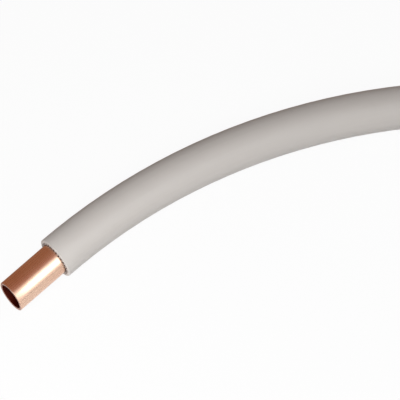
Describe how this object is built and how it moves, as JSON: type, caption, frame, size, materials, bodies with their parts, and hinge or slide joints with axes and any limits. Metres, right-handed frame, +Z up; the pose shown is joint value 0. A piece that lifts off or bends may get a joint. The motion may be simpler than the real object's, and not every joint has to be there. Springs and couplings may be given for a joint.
{
  "type": "copper tube coil",
  "caption": "Flat spiral coil of soft copper tube in a ribbed light-grey plastic sheath, its outer end drawn out and stripped bare for a fitting.",
  "frame": {"origin": "on the coil's axis, at the floor that the coil lies on", "axes": "+Z up along the coil's axis; +Y from the coil towards its free end; the bare end lies along X and its tip faces -X"},
  "size_m": [0.514, 0.6919, 0.016],
  "materials": {
    "sheath": "satin extruded plastic, warm light grey",
    "copper_tube": "bright drawn copper"
  },
  "bodies": {
    "root": {"sheath": "sheath", "copper_tube": "copper_tube"}
  },
  "joints": []
}
